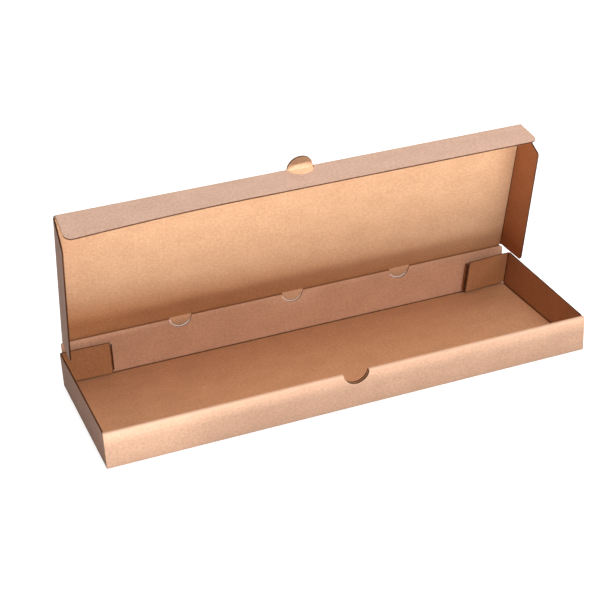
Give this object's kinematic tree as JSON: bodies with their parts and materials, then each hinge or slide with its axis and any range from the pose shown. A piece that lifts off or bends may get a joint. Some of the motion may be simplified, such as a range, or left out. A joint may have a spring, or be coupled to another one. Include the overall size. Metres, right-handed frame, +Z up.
{
  "type": "flatbread box",
  "caption": "Long shallow corrugated card box with a double front wall, a finger notch, a hinged lid with a thumb tab, and tuck-in front and side flaps.",
  "frame": {"origin": "centre of the floor's underside, where the box rests", "axes": "+X along the box to the right seen from its front, +Y from the front wall to the hinge, +Z up"},
  "size_m": [0.5, 0.1709, 0.2156],
  "materials": {
    "tray_card": "brown kraft liner, matt",
    "lid_card": "brown kraft liner, matt",
    "front_flap_card": "brown kraft liner, matt",
    "side_flap_card": "brown kraft liner, matt"
  },
  "bodies": {
    "tray": {"tray": "tray_card"},
    "lid": {"lid": "lid_card"},
    "front_flap": {"lid_front_flap": "front_flap_card"},
    "left_flap": {"lid_left_flap": "side_flap_card"},
    "right_flap": {"lid_right_flap": "side_flap_card"}
  },
  "joints": [
    {"name": "lid_hinge", "type": "hinge", "parent": "tray", "child": "lid", "pos_m": [0, 0.0832, 0.0485], "axis": [1, 0, 0], "range_deg": [-110, 78.5]},
    {"name": "front_flap_fold", "type": "hinge", "parent": "lid", "child": "front_flap", "pos_m": [0, 0.04312, 0.20237], "axis": [1, 0, 0], "range_deg": [-94, 12]},
    {"name": "left_flap_fold", "type": "hinge", "parent": "lid", "child": "left_flap", "pos_m": [-0.2448, 0.0832, 0.0485], "axis": [0, -0.2521, 0.9677], "range_deg": [-86.6, 15.4]},
    {"name": "right_flap_fold", "type": "hinge", "parent": "lid", "child": "right_flap", "pos_m": [0.2448, 0.0832, 0.0485], "axis": [0, 0.2521, -0.9677], "range_deg": [-86.6, 15.4]}
  ]
}
